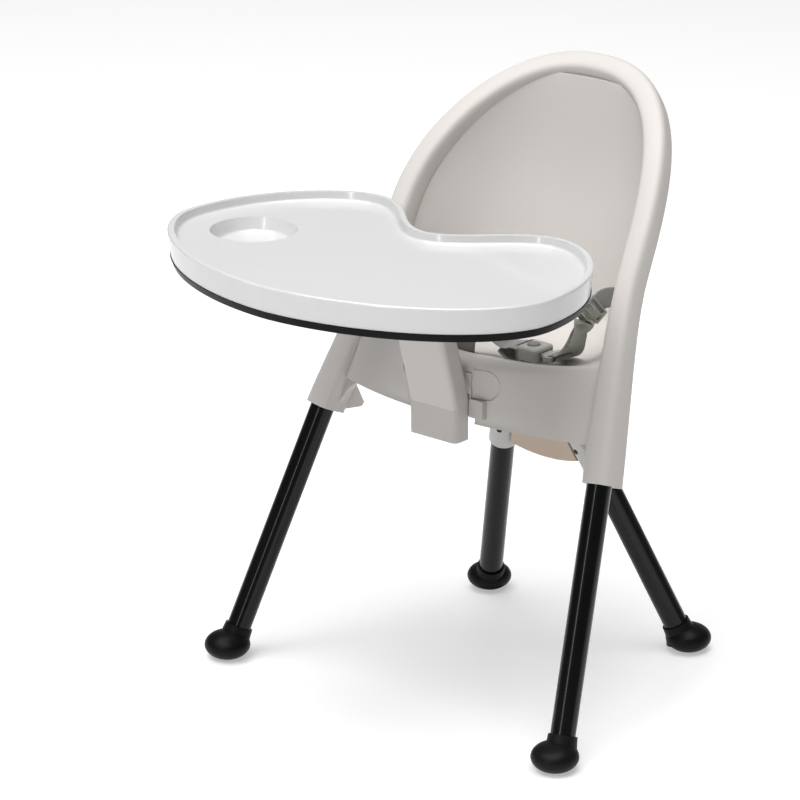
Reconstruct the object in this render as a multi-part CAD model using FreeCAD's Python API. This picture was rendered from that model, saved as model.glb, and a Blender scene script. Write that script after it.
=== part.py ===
import FreeCAD, Part
import math
import os

# Folding baby high chair.
# Millimetres.  +Z is up, the child faces -Y, X runs across the chair.  The floor is z = 0.

V = FreeCAD.Vector

# ---------------------------------------------------------------- driving sizes
SEAT_Z = 426.0            # front edge of the seat above the floor
BACK_RISE = 291.0         # rim centre line at the top of the arch, above SEAT_Z
TUBE_D = 30.0             # leg tube
TUBE_WALL = 1.6
SOCKET_X = 216.0          # front leg axis where it leaves the shell
SOCKET_Y = -73.0
SOCKET_DROP = 121.0       # below SEAT_Z
FRONT_SPLAY = 0.151       # outward per unit of drop
FRONT_LEAN = 0.423        # forward per unit of drop
REAR_PIVOT_X = 44.0       # rear leg axes where they cross the folding shaft
REAR_PIVOT_Y = 78.0
REAR_PIVOT_DROP = 94.0
REAR_SPLAY = 0.354
REAR_LEAN = 0.328
FOOT_D = 57.0             # rubber bulb
FOOT_H = 36.0
FOOT_SLEEVE = 22.0        # sleeve up the tube, from the bulb centre
FOOT_REACH = 10.0         # bulb centre ahead of the tube
RIM_W = 30.0              # arch rim section at the back rest
RIM_T = 33.0
SOCKET_W = 39.0           # the same tube of plastic where it takes the leg
SOCKET_T = 46.0
ARCH_HALF = 180.0         # rim centre line, half width at the shoulder
ARCH_SHOULDER = 102.0     # shoulder above SEAT_Z
ARCH_POWER = 2.27         # roundness of the arch
BACK_SWEEP = 0.00236      # backward curl of the arch above the shoulder
SKIN = 3.2                # moulded wall
SEAT_DIP = 14.0           # seat pan below the front edge
SEAT_FRONT_Y = -97.0
SEAT_CREASE_Y = 128.0
SKIRT_H = 81.0            # front skirt
TRAY_RISE = 160.0         # tray rim above SEAT_Z
TRAY_W = 552.0
TRAY_MID_Y = -243.0       # line of greatest width
TRAY_FRONT = 172.0        # tray ahead of that line
TRAY_BACK = 233.6         # tray behind it, before the belly cut-out
BELLY_CUT = 122.6
BELLY_HALF = 95.0
TRAY_WALL_H = 31.0
TRAY_LIP_W = 8.0
TRAY_LIP_H = 10.0
BASE_H = 9.5              # black lower tray
CUP_D = 104.0
CUP_X = -179.0
CUP_Y = -234.0
CUP_DEPTH = 17.0
CUP_DRAFT = 7.0
POST_W = 73.0
POST_T = 28.0
POST_Y = -120.0           # front face of the post at its foot
POST_FOOT_DROP = 100.0    # foot of the post below SEAT_Z
HINGE_DROP = 60.0         # tray hinge below SEAT_Z
HINGE_Y = -86.0
PIN_D = 8.0
SHAFT_D = 12.0
WEB_W = 25.0              # harness webbing
WEB_T = 1.6

FIT = 0.05                # fixed fit, radial
RUN = 0.05                # running fit, radial
GAP = 0.4                 # clear gap between neighbours

# ---------------------------------------------------------------- derived levels
SOCKET_Z = SEAT_Z - SOCKET_DROP
PIVOT_Z = SEAT_Z - REAR_PIVOT_DROP
ARCH_TOP = SEAT_Z + BACK_RISE
SHOULDER_Z = SEAT_Z + ARCH_SHOULDER
PAN_Z = SEAT_Z - SEAT_DIP
SKIRT_Z = SEAT_Z - SKIRT_H
TRAY_Z = SEAT_Z + TRAY_RISE
BASE_TOP = TRAY_Z - TRAY_WALL_H - GAP
BASE_Z = BASE_TOP - BASE_H
HINGE_Z = SEAT_Z - HINGE_DROP
POST_FOOT = SEAT_Z - POST_FOOT_DROP
FOOT_Z = FOOT_H / 2 - 1.0
TUBE_END = 13.0           # tubes stop this far above the floor, inside the feet
HEAD_T = 7.0
HEAD_Z = BASE_Z - HEAD_T


# ---------------------------------------------------------------- small helpers
def box(x0, x1, y0, y1, z0, z1):
    return Part.makeBox(x1 - x0, y1 - y0, z1 - z0, V(x0, y0, z0))


def rod(a, b, d):
    return Part.makeCylinder(d / 2, (b - a).Length, a, b - a)


def mirror(shape):
    return shape.mirror(V(0, 0, 0), V(1, 0, 0))


def prism_x(profile, x0, x1):
    """Solid from a closed (y, z) profile, swept from x0 to x1."""
    pts = [V(x0, y, z) for y, z in profile]
    face = Part.Face(Part.makePolygon(pts + [pts[0]]))
    return face.extrude(V(x1 - x0, 0, 0))


def rounded(solid, keep, radius):
    """Round the edges for which keep(edge) is true."""
    edges = [e for e in solid.Edges if keep(e)]
    return solid.makeFillet(radius, edges)


def save(name, shape):
    shape.exportStep("parts/" + name + ".step")


def front_axis(z, side=1):
    drop = SOCKET_Z - z
    return V(side * (SOCKET_X + FRONT_SPLAY * drop), SOCKET_Y - FRONT_LEAN * drop, z)


def rear_axis(z, side=1):
    drop = PIVOT_Z - z
    return V(side * (REAR_PIVOT_X + REAR_SPLAY * drop), REAR_PIVOT_Y + REAR_LEAN * drop, z)


# ---------------------------------------------------------------- arch rim
RIM_BACK = 10.0           # rim centre behind the leg plane at the back rest
RIM_BACK_LOW = 6.0        # and at the leg sockets


def rim_y(z):
    curl = max(z - SHOULDER_Z, 0.0)
    low = min(max((SHOULDER_Z - z) / (SHOULDER_Z - SOCKET_Z), 0.0), 1.0)
    back = RIM_BACK + (RIM_BACK_LOW - RIM_BACK) * low * low * (3 - 2 * low)
    return SOCKET_Y + FRONT_LEAN * (z - SOCKET_Z) + back + BACK_SWEEP * curl * curl


def flare(z):
    """Extra half width below the shoulder, easing into the straight leg line."""
    drop = max(SHOULDER_Z - z, 0.0)
    soft = 45.0
    full = SHOULDER_Z - SOCKET_Z
    share = (drop - soft * (1 - math.exp(-drop / soft))) / (full - soft * (1 - math.exp(-full / soft)))
    return (SOCKET_X - ARCH_HALF) * share


def rim_half(z):
    """Half width of the rim centre line at height z."""
    rel = min(max((z - SHOULDER_Z) / (ARCH_TOP - SHOULDER_Z), 0.0), 1.0)
    return ARCH_HALF * (1.0 - rel ** ARCH_POWER) ** (1.0 / ARCH_POWER) + flare(z)


def rim_point(s):
    """Rim centre line: s = -1 left socket, 0 top of the arch, 1 right socket."""
    side = 1.0 if s >= 0 else -1.0
    a = abs(s)
    split = 0.55
    if a < split:
        ang = a / split * math.pi / 2
        x = ARCH_HALF * math.sin(ang) ** (2 / ARCH_POWER)
        z = SHOULDER_Z + (ARCH_TOP - SHOULDER_Z) * math.cos(ang) ** (2 / ARCH_POWER)
    else:
        z = SHOULDER_Z + (SOCKET_Z - SHOULDER_Z) * (a - split) / (1 - split)
        x = rim_half(z)
    return V(side * x, rim_y(z), z)


def oval(centre, across, deep, w, t, power=3.4, count=20):
    """Closed, rounded section."""
    pts = []
    for i in range(count):
        a = 2 * math.pi * (i + 0.5) / count
        c = math.cos(a)
        s = math.sin(a)
        u = math.copysign(abs(c) ** (2 / power), c) * w / 2
        v = math.copysign(abs(s) ** (2 / power), s) * t / 2
        pts.append(centre + across * u + deep * v)
    curve = Part.BSplineCurve()
    curve.interpolate(Points=pts, PeriodicFlag=True)
    return Part.Wire([curve.toShape()])


def rim_solid():
    count = 50
    reach = 1.25
    wires = []
    for i in range(count + 1):
        s = reach * (-1.0 + 2.0 * i / count)
        p = rim_point(s)
        step = 0.01
        along = (rim_point(s + step) - rim_point(s - step)).normalize()
        slope = FRONT_LEAN + 2 * BACK_SWEEP * max(p.z - SHOULDER_Z, 0.0)
        deep = V(0, 1, -slope).normalize()
        across = deep.cross(along).normalize()
        deep = along.cross(across).normalize()
        low = min(max((SHOULDER_Z - p.z) / (SHOULDER_Z - SOCKET_Z), 0.0), 1.0)
        ease = low * low * (3 - 2 * low)
        w = RIM_W + (SOCKET_W - RIM_W) * ease
        t = RIM_T + (SOCKET_T - RIM_T) * ease
        wires.append(oval(p, across, deep, w, t))
    solid = Part.makeLoft(wires, True, False)
    for side in (-1, 1):
        down = (front_axis(0, side) - front_axis(100, side)).normalize()
        end = front_axis(SOCKET_Z, side)
        solid = solid.cut(rod(end, end + down * 260, 160))
    return solid


# ---------------------------------------------------------------- shell skin
def spine(t):
    """Centre line of the bucket: t = 0 at the arch top, 1 at the bottom of the skirt.

    Returns (y, z, rim height the row is tied to, bend power, rise power)."""
    top_z = ARCH_TOP - 8
    crease_z = PAN_Z + 12
    if t < 0.5:
        k = t / 0.5
        z = top_z + (crease_z + 14 - top_z) * k
        lean = (edge_y_at(top_z) + 3 - SEAT_CREASE_Y) * (1 - k) ** 1.15
        y = SEAT_CREASE_Y + lean + 14 * math.sin(math.pi * k)
        zr = top_z + (SEAT_Z + 62 - top_z) * k
        return y, z, zr, 3.0, 3.0
    if t < 0.8:
        k = (t - 0.5) / 0.3
        ease = 1 - (1 - min(k / 0.3, 1.0)) ** 2
        y = SEAT_CREASE_Y + (SEAT_FRONT_Y + 14 - SEAT_CREASE_Y) * k
        z = crease_z + 14 + (PAN_Z - crease_z - 14) * ease
        if k > 0.7:
            lift = (k - 0.7) / 0.3
            z = PAN_Z + (SEAT_DIP - 1.5) * lift * lift * (3 - 2 * lift)
        zr = SEAT_Z + 62 + (6 - 62) * k
        return y, z, zr, 3.0 - 1.2 * k, 5.0
    if t < 0.88:
        k = (t - 0.8) / 0.08
        ang = k * math.pi / 2
        y = SEAT_FRONT_Y + 14 - 14 * math.sin(ang)
        z = SEAT_Z - 1.5 - 12 * (1 - math.cos(ang))
        zr = SEAT_Z + 6 - 14 * k
        return y, z, zr, 1.8, 5.0 - 2 * k
    k = (t - 0.88) / 0.12
    y = SEAT_FRONT_Y + 5 * k
    z = SEAT_Z - 13.5 + (SKIRT_Z - SEAT_Z + 13.5) * k
    zr = SEAT_Z - 8 + (SKIRT_Z - SEAT_Z + 8) * k
    return y, z, zr, 1.8 + 0.4 * k, 3.0


def edge_y_at(z):
    """Where the skin meets the rim: near the rim's front face at the top, deeper lower down."""
    rel = min(max((z - SHOULDER_Z + 40) / (ARCH_TOP - SHOULDER_Z), 0.0), 1.0)
    return rim_y(z) - 5 - (RIM_T / 2 - 9.0) * rel * rel * (3 - 2 * rel)


def skin_point(t, w):
    y, z, zr, bend, rise = spine(t)
    a = abs(w)
    x = w * (rim_half(zr) - 4)
    edge_y = edge_y_at(zr)
    return V(x, y + (edge_y - y) * a ** bend, z + (zr - z) * a ** rise)


def skin_stations():
    """Rows close together where the seat rolls over its front edge, wider elsewhere."""
    fine = 400
    lengths = [0.0]
    for i in range(fine):
        a = spine(i / fine)
        b = spine((i + 1) / fine)
        lengths.append(lengths[-1] + math.hypot(b[0] - a[0], b[1] - a[1]))
    roll = lengths[int(0.84 * fine)]
    marks = [roll]
    for way, end in ((-1, 0.0), (1, lengths[-1])):
        step = 6.0
        at = roll
        reach = abs(end - roll)
        steps = []
        while sum(steps) < reach:
            steps.append(step)
            step = min(step * 1.2, 17.0)
        shrink = reach / sum(steps)
        for length in steps:
            at += way * length * shrink
            marks.append(at)
    marks.sort()
    rows = []
    for mark in marks:
        i = 0
        while i < fine - 1 and lengths[i + 1] < mark:
            i += 1
        part = (mark - lengths[i]) / (lengths[i + 1] - lengths[i])
        rows.append(min(max((i + part) / fine, 0.0), 1.0))
    return rows


def skin_normal(t, w):
    d = 0.004
    du = skin_point(min(t + d, 1.0), w) - skin_point(max(t - d, 0.0), w)
    dw = skin_point(t, min(w + d, 1.0)) - skin_point(t, max(w - d, -1.0))
    n = du.cross(dw)
    n.normalize()
    return n


def grid_surface(rows):
    surface = Part.BSplineSurface()
    surface.interpolate(rows)
    return surface


def skin_solid():
    stations = skin_stations()
    across = [-1 + i / 12 for i in range(25)]
    inner = []
    outer = []
    for t in stations:
        inner_row = []
        outer_row = []
        for w in across:
            p = skin_point(t, w)
            n = skin_normal(t, w)
            inner_row.append(p)
            outer_row.append(p - n * SKIN)
        inner.append(inner_row)
        outer.append(outer_row)
    a = grid_surface(inner)
    b = grid_surface(outer)
    faces = [a.toShape(), b.toShape()]
    for pick in ("first_u", "last_u", "first_v", "last_v"):
        edges = []
        for s in (a, b):
            u0, u1, v0, v1 = s.bounds()
            if pick == "first_u":
                curve = s.uIso(u0)
            elif pick == "last_u":
                curve = s.uIso(u1)
            elif pick == "first_v":
                curve = s.vIso(v0)
            else:
                curve = s.vIso(v1)
            edges.append(curve.toShape())
        faces.append(Part.makeRuledSurface(edges[0], edges[1]))
    shell = Part.makeShell(faces)
    shell.sewShape()
    solid = Part.makeSolid(shell)
    if solid.Volume < 0:
        solid.reverse()
    return solid


# ---------------------------------------------------------------- seat shell
FLAP_X = 58.0             # half width of the hinge housing where it shows
SKIRT_FALL = SKIRT_Z - SOCKET_Z
LEG_IN = 52.0             # leg tube inside its socket
EAR_X0 = 40.0             # release button, inner and outer edge
EAR_X1 = 75.0
EAR_H = 36.0
SLOT_X = POST_W / 2 + 1.2
LUG_RISE = 10.0           # lower edge of the hinge housing above the skirt edge
CHEEK_WEB_IN = 22.0       # web behind the leg socket
CHEEK_WEB_BACK = 49.0
BRACKET_TOP = PAN_Z - 9.0
BOSS_X = 52.0
BOSS_FRONT = -20.0        # bracket bosses, from the folding shaft
BOSS_BACK = 14.0
LAP_Y = 39.0              # lap strap slots in the side walls
LAP_Z = SEAT_Z + 68.0
CROTCH_Y = -60.0          # crotch strap slot
CROTCH_W = 40.0


def ear_z():
    return HINGE_Z + 12 + EAR_H / 2


def ear_prism(y0, y1, grow):
    """D-shaped bar along Y, flat side towards the post, on the +X side."""
    x0 = EAR_X0 - grow
    r = EAR_H / 2 + grow
    cx = EAR_X1 - EAR_H / 2
    z = ear_z()
    block = box(x0, cx, y0, y1, z - r, z + r)
    nose = Part.makeCylinder(r, y1 - y0, V(cx, y0, z), V(0, 1, 0))
    return block.fuse(nose).removeSplitter()


def leg_gusset(side):
    """Web that carries the lower edge of the skirt down into the leg socket."""
    rise = SKIRT_FALL / 40
    outline = ((-12, 2), (-19, 2), (-21, 10), (-24, 20), (-29, 29), (-37, 36),
               (-50, 42), (-76, 47), (-76, 60), (-12, 60))
    pts = []
    for x, z in outline:
        base = front_axis(SOCKET_Z + z * rise, 1)
        pts.append(V(base.x + x, base.y + 2, base.z))
    web = Part.Face(Part.makePolygon(pts + [pts[0]])).extrude(V(0, 14, 0))
    return web if side > 0 else mirror(web)


def leg_cheek(side):
    """Web behind the leg socket, inward and back, with a round lower corner."""
    way = V(-CHEEK_WEB_IN, CHEEK_WEB_BACK, 0)
    reach = way.Length
    way.normalize()
    foot_at = front_axis(SOCKET_Z + 1, 1)
    r = 6.0
    low = -7.0
    high = SKIRT_FALL + 34
    lean = 0.43
    turns = (0, 0.4, 0.8, 1.2, math.pi / 2)
    corner = [(reach - r + r * math.sin(a), low + r - r * math.cos(a)) for a in turns]
    outline = [(0, low)] + corner + [(reach - lean * (high - low - r), high), (lean * high, high)]
    pts = [V(foot_at.x, foot_at.y, SOCKET_Z + z) + way * d for d, z in outline]
    normal = V(way.y, -way.x, 0)
    face = Part.Face(Part.makePolygon(pts + [pts[0]]))
    face.translate(normal * -4)
    web = face.extrude(normal * 8)
    return web if side > 0 else mirror(web)


def seat_shell():
    extras = []
    for side in (-1, 1):
        x = side * BOSS_X
        for reach, top in ((BOSS_FRONT, -1.2), (BOSS_BACK, 2.6)):
            y = REAR_PIVOT_Y + reach
            extras.append(rod(V(x, y, BRACKET_TOP + FIT), V(x, y, PAN_Z + top), 12))
        extras.append(leg_gusset(side))
        extras.append(leg_cheek(side))
    shell = rim_solid().fuse([skin_solid()] + extras)
    y1 = HINGE_Y + 30
    ear = ear_prism(-140, y1, GAP)
    tools = [ear, mirror(ear)]
    tools.append(box(-FLAP_X - GAP, FLAP_X + GAP, -140, y1, SKIRT_Z + LUG_RISE - GAP, ear_z() - EAR_H / 2))
    tools.append(box(-SLOT_X - GAP, SLOT_X + GAP, -140, y1, SKIRT_Z - 20, SKIRT_Z + LUG_RISE))
    tools.append(box(-EAR_X0 - 1, EAR_X0 + 1, -140, y1, SKIRT_Z - 20, SEAT_Z - 17))
    tools.append(box(-CROTCH_W / 2 - 2, CROTCH_W / 2 + 2, CROTCH_Y - 3, CROTCH_Y + 3, PAN_Z - 20, PAN_Z + 30))
    for side in (-1, 1):
        x0 = 120 if side > 0 else -200
        tools.append(box(x0, x0 + 80, LAP_Y - 4, LAP_Y + 4, LAP_Z - 14, LAP_Z + 16))
        low = front_axis(SOCKET_Z - 20, side)
        tools.append(rod(low, front_axis(SOCKET_Z + LEG_IN + 1, side), TUBE_D + 2 * FIT))
        for reach in (BOSS_FRONT, BOSS_BACK):
            x = side * BOSS_X
            y = REAR_PIVOT_Y + reach
            tools.append(rod(V(x, y, BRACKET_TOP - 5), V(x, y, PAN_Z - 5), 4 + 2 * FIT))
    return shell.cut(tools)


# ---------------------------------------------------------------- small fasteners
def screw(at, head_d, head_h, length, d=4.0):
    """Screw driven upwards, head below."""
    head = rod(at - V(0, 0, head_h), at, head_d)
    socket = Part.makeBox(head_d * 0.6, 1.2, 1.2, at - V(head_d * 0.3, 0.6, head_h))
    return head.cut(socket).fuse(rod(at - V(0, 0, 0.2), at + V(0, 0, length), d))


# ---------------------------------------------------------------- rear leg folding gear
CHEEK_X = 59.0
CHEEK_T = 4.0
CHEEK_R = 13.0
REAR_TUBE_TOP = 20.0      # rear tubes start this far below the shaft
YOKE_R = 17.0
LUG_R = 27.0
LATCH_Z = PIVOT_Z + LUG_R
COLLAR_D = 36.0
COLLAR_Z0 = SEAT_Z - 179.0
COLLAR_Z1 = COLLAR_Z0 + 36.0
PANEL_T = 22.0
PANEL_Z = SEAT_Z - 182.0
PANEL_SMILE = 8.0


def fold_bracket():
    y0 = REAR_PIVOT_Y - 30
    y1 = REAR_PIVOT_Y + 30
    plate = box(-CHEEK_X - CHEEK_T, CHEEK_X + CHEEK_T, y0, y1, BRACKET_TOP - 4, BRACKET_TOP)
    body = plate
    for side in (-1, 1):
        x0 = CHEEK_X if side > 0 else -CHEEK_X - CHEEK_T
        r = CHEEK_R
        profile = [(y0, BRACKET_TOP - 2), (REAR_PIVOT_Y - r, PIVOT_Z),
                   (REAR_PIVOT_Y + r, PIVOT_Z), (y1, BRACKET_TOP - 2)]
        cheek = prism_x(profile, x0, x0 + CHEEK_T)
        cheek = cheek.fuse(rod(V(x0, REAR_PIVOT_Y, PIVOT_Z), V(x0 + CHEEK_T, REAR_PIVOT_Y, PIVOT_Z), 2 * r))
        body = body.fuse(cheek)
    body = body.cut(rod(V(-90, REAR_PIVOT_Y, PIVOT_Z), V(90, REAR_PIVOT_Y, PIVOT_Z), SHAFT_D + 2 * FIT))
    body = body.cut(rod(V(CHEEK_X - 2, REAR_PIVOT_Y, LATCH_Z), V(90, REAR_PIVOT_Y, LATCH_Z), PIN_D + 2 * RUN))
    for y in (REAR_PIVOT_Y + BOSS_FRONT, REAR_PIVOT_Y + BOSS_BACK):
        for side in (-1, 1):
            x = side * BOSS_X
            body = body.cut(rod(V(x, y, BRACKET_TOP - 20), V(x, y, BRACKET_TOP + 5), 4 + 2 * FIT))
    return body.removeSplitter()


def bracket_screws():
    parts = []
    for y in (REAR_PIVOT_Y + BOSS_FRONT, REAR_PIVOT_Y + BOSS_BACK):
        for side in (-1, 1):
            parts.append(screw(V(side * BOSS_X, y, BRACKET_TOP - 4 - FIT), 8, 2.6, 7.5))
    return Part.makeCompound(parts)


def fold_shaft():
    half = CHEEK_X + CHEEK_T + 3
    body = rod(V(-half, REAR_PIVOT_Y, PIVOT_Z), V(half, REAR_PIVOT_Y, PIVOT_Z), SHAFT_D)
    for side in (-1, 1):
        a = V(side * (CHEEK_X + CHEEK_T + 0.3), REAR_PIVOT_Y, PIVOT_Z)
        b = V(side * (half + 1), REAR_PIVOT_Y, PIVOT_Z)
        body = body.fuse(rod(a, b, 17))
    return body


def rear_yoke():
    half = CHEEK_X - 0.5
    body = rod(V(-half, REAR_PIVOT_Y, PIVOT_Z), V(half, REAR_PIVOT_Y, PIVOT_Z), 2 * YOKE_R)
    for side in (-1, 1):
        arm = rod(rear_axis(PIVOT_Z, side), rear_axis(COLLAR_Z1, side), COLLAR_D)
        body = body.fuse(arm)
    x0 = CHEEK_X - 8
    x1 = half - 2
    lug = rod(V(x0, REAR_PIVOT_Y, LATCH_Z), V(x1, REAR_PIVOT_Y, LATCH_Z), 20)
    lug = lug.fuse(box(x0, x1, REAR_PIVOT_Y - 10, REAR_PIVOT_Y + 10, PIVOT_Z, LATCH_Z))
    body = body.fuse(lug)
    for side in (-1, 1):
        top = rear_axis(PIVOT_Z - REAR_TUBE_TOP + 1, side)
        body = body.cut(rod(top, rear_axis(COLLAR_Z1 - 20, side), TUBE_D + 2 * FIT))
        a = V(side * half, REAR_PIVOT_Y, PIVOT_Z)
        body = body.cut(rod(a, a + V(side * 40, 0, 0), 2 * YOKE_R))
    body = body.cut(rod(V(-90, REAR_PIVOT_Y, PIVOT_Z), V(90, REAR_PIVOT_Y, PIVOT_Z), SHAFT_D + 2 * RUN))
    return body.removeSplitter()


def yoke_panel():
    """Curved panel that fills the yoke between the two rear collars."""
    half = PANEL_T / 2
    down = (rear_axis(0, 1) + rear_axis(0, -1) - rear_axis(100, 1) - rear_axis(100, -1)).normalize()
    normal = V(0, -down.z, down.y)
    top = V(0, REAR_PIVOT_Y, PIVOT_Z) + down * (YOKE_R + GAP)
    length = (PIVOT_Z - PANEL_Z) / -down.z - YOKE_R
    edge = math.hypot(REAR_SPLAY, 1.0)
    clear = COLLAR_D / 2 + 0.6

    def inner_x(fall):
        return REAR_PIVOT_X + REAR_SPLAY * (YOKE_R + GAP + fall) * -down.z - clear * edge

    outline = []
    for k in range(13):
        w = -1 + k / 6
        fall = length - PANEL_SMILE * w * w
        outline.append(top + V(1, 0, 0) * (w * inner_x(fall)) + down * fall)
    lower = Part.BSplineCurve()
    lower.interpolate(Points=outline)
    a = outline[-1]
    b = top + V(inner_x(0), 0, 0)
    c = top - V(inner_x(0), 0, 0)
    edges = [lower.toShape(), Part.makeLine(a, b), Part.makeLine(b, c), Part.makeLine(c, outline[0])]
    face = Part.Face(Part.Wire(edges))
    face.translate(normal * -half)
    body = face.extrude(normal * PANEL_T)
    return rounded(body, lambda e: e.Curve.TypeId == "Part::GeomBSplineCurve", 5)


def rear_leg(side):
    top = rear_axis(PIVOT_Z - REAR_TUBE_TOP, side)
    bottom = rear_axis(TUBE_END, side)
    tube = rod(bottom, top, TUBE_D)
    return tube.cut(rod(bottom, top, TUBE_D - 2 * TUBE_WALL))


def front_leg(side):
    top = front_axis(SOCKET_Z + LEG_IN, side)
    bottom = front_axis(TUBE_END, side)
    tube = rod(bottom, top, TUBE_D)
    return tube.cut(rod(bottom, top, TUBE_D - 2 * TUBE_WALL))


def collar_screw_frame(side):
    """Axis point and outward direction of the screw in a rear collar."""
    down = (rear_axis(0, side) - rear_axis(100, side)).normalize()
    out = V(-side * 0.35, -1, 0)
    out = (out - down * out.dot(down)).normalize()
    return rear_axis(COLLAR_Z1 - 9, side), out


def rear_collar(side):
    body = rod(rear_axis(COLLAR_Z0, side), rear_axis(COLLAR_Z1 - FIT, side), COLLAR_D)
    low = rear_axis(COLLAR_Z0 - 10, side)
    body = body.cut(rod(low, rear_axis(COLLAR_Z1 + 10, side), TUBE_D + 2 * FIT))
    at, out = collar_screw_frame(side)
    body = body.cut(rod(at + out * (COLLAR_D / 2 - 1.4), at + out * 30, 7.4))
    body = body.cut(rod(at + out * (TUBE_D / 2 - 1), at + out * 30, 4 + 2 * FIT))
    return body


def collar_screws():
    parts = []
    for side in (-1, 1):
        at, out = collar_screw_frame(side)
        a = at + out * (TUBE_D / 2 + FIT + 0.05)
        seat = at + out * (COLLAR_D / 2 - 1.3)
        head = rod(seat, seat + out * 1.6, 7)
        head = head.cut(rod(seat + out * 0.7, seat + out * 3, 3))
        parts.append(head.fuse(rod(a, seat + out * 0.2, 4)))
    return Part.makeCompound(parts)


def latch_knob():
    half = CHEEK_X - 0.5 + GAP
    y = REAR_PIVOT_Y
    pin = rod(V(half, y, LATCH_Z), V(CHEEK_X + CHEEK_T + 24, y, LATCH_Z), PIN_D)
    knob = rod(V(CHEEK_X + CHEEK_T + 12, y, LATCH_Z), V(CHEEK_X + CHEEK_T + 22, y, LATCH_Z), 24)
    knob = rounded(knob, lambda e: e.Curve.TypeId == "Part::GeomCircle", 1.8)
    return pin.fuse(knob).removeSplitter()


def coil(start, axis, radius, wire, turns, length):
    """Helical spring along axis from start."""
    steps = int(turns * 10)
    pts = []
    for i in range(steps + 1):
        a = 2 * math.pi * turns * i / steps
        pts.append(V(radius * math.cos(a), radius * math.sin(a), wire + (length - 2 * wire) * i / steps))
    curve = Part.BSplineCurve()
    curve.interpolate(Points=pts)
    tangent = curve.tangent(curve.FirstParameter)[0]
    section = Part.Wire([Part.makeCircle(wire / 2, pts[0], tangent)])
    body = Part.Wire([curve.toShape()]).makePipeShell([section], True, False)
    body.Placement = FreeCAD.Placement(start, FreeCAD.Rotation(V(0, 0, 1), axis))
    return body


def latch_spring():
    start = V(CHEEK_X + CHEEK_T + 1.0, REAR_PIVOT_Y, LATCH_Z)
    return coil(start, V(1, 0, 0), 6.0, 1.0, 4, 10.0)


# ---------------------------------------------------------------- feet
def foot(axis_at, side, reach_x, reach_y):
    """Rubber foot: flattened bulb on a flared sleeve that grips the tube."""
    base = axis_at(FOOT_Z, side)
    centre = V(base.x + side * reach_x, base.y + reach_y, FOOT_Z)
    scale = FreeCAD.Matrix()
    scale.scale(FOOT_D / 2, FOOT_D / 2, FOOT_H / 2)
    bulb = Part.makeSphere(1.0).transformGeometry(scale)
    bulb.translate(centre)
    down = (axis_at(0, side) - axis_at(100, side)).normalize()
    top = base - down * FOOT_SLEEVE
    flare_at = base - down * 9
    r = TUBE_D / 2
    sleeve = Part.makeCone(r + 3.5, r + 2.4, (top - flare_at).Length, flare_at, top - flare_at)
    neck = Part.makeCone(r + 7.5, r + 3.5, (flare_at - base).Length, base, flare_at - base)
    body = bulb.fuse([sleeve, neck]).removeSplitter()
    body = body.cut(box(-600, 600, -600, 600, -60, 0))
    bore = rod(axis_at(TUBE_END, side), base - down * 60, TUBE_D + 2 * FIT)
    return body.cut(bore)


# ---------------------------------------------------------------- tray hinge
def hinge_housing():
    y1 = HINGE_Y + 52
    low = box(-FLAP_X, FLAP_X, SEAT_FRONT_Y, y1, SKIRT_Z + LUG_RISE, ear_z() - EAR_H / 2 - GAP)
    z1 = PAN_Z - 5
    high = box(-EAR_X1 - 5, EAR_X1 + 5, HINGE_Y + 14, y1, ear_z() - EAR_H / 2 - 4, z1)
    z0 = ear_z() - EAR_H / 2 - 4
    strip = box(-EAR_X0 - 0.6, EAR_X0 + 0.6, SEAT_FRONT_Y + 1, HINGE_Y + 15, z0, SEAT_Z - 17.4)
    body = low.fuse([high, strip])
    body = body.cut(box(-SLOT_X, SLOT_X, -200, y1 - 5, SKIRT_Z - 30, z1 - 4))
    ear = ear_prism(-200, y1 - 4, GAP - 0.1)
    body = body.cut(ear)
    body = body.cut(mirror(ear))
    pin = rod(V(-FLAP_X + 4, HINGE_Y, HINGE_Z), V(FLAP_X - 4, HINGE_Y, HINGE_Z), PIN_D + 2 * FIT)
    body = body.cut(pin)
    return body.removeSplitter()


def hinge_pin():
    return rod(V(-FLAP_X + 4.5, HINGE_Y, HINGE_Z), V(FLAP_X - 4.5, HINGE_Y, HINGE_Z), PIN_D)


def release_button(side):
    y_tail = HINGE_Y + 26
    body = ear_prism(-104, y_tail, 0)
    slope = [(EAR_X0 - 5, -110), (EAR_X0 - 5, SEAT_FRONT_Y + 2.2),
             (EAR_X1 + 5, SEAT_FRONT_Y + 14), (EAR_X1 + 5, -110)]
    pts = [V(x, y, ear_z() - 40) for x, y in slope]
    wedge = Part.Face(Part.makePolygon(pts + [pts[0]])).extrude(V(0, 0, 80))
    body = body.cut(wedge)
    body = body.cut(box(EAR_X0 + 5, EAR_X1 - 6, y_tail - 14, y_tail + 1, ear_z() - 12, ear_z() + 12))
    return body if side > 0 else mirror(body)


def release_spring(side):
    y0 = HINGE_Y + 26 - 13
    y1 = HINGE_Y + 52 - 4 - 1
    x = (EAR_X0 + EAR_X1) / 2
    body = coil(V(x, y0, ear_z()), V(0, 1, 0), 6.5, 1.0, 6, y1 - y0)
    return body if side > 0 else mirror(body)


def post_profile(inset, z0, z1):
    """Side profile of the post: (y, z) outline, drawn in by inset."""
    bend = HINGE_Z + 1
    lean_a = 0.294
    top_y = POST_Y - lean_a * (z1 - bend)
    return [(POST_Y + inset, z0), (POST_Y + inset, bend), (top_y + inset, z1),
            (top_y + POST_T + 2 - inset, z1), (POST_Y + POST_T - inset, bend + 12),
            (POST_Y + POST_T - inset, z0)]


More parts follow.
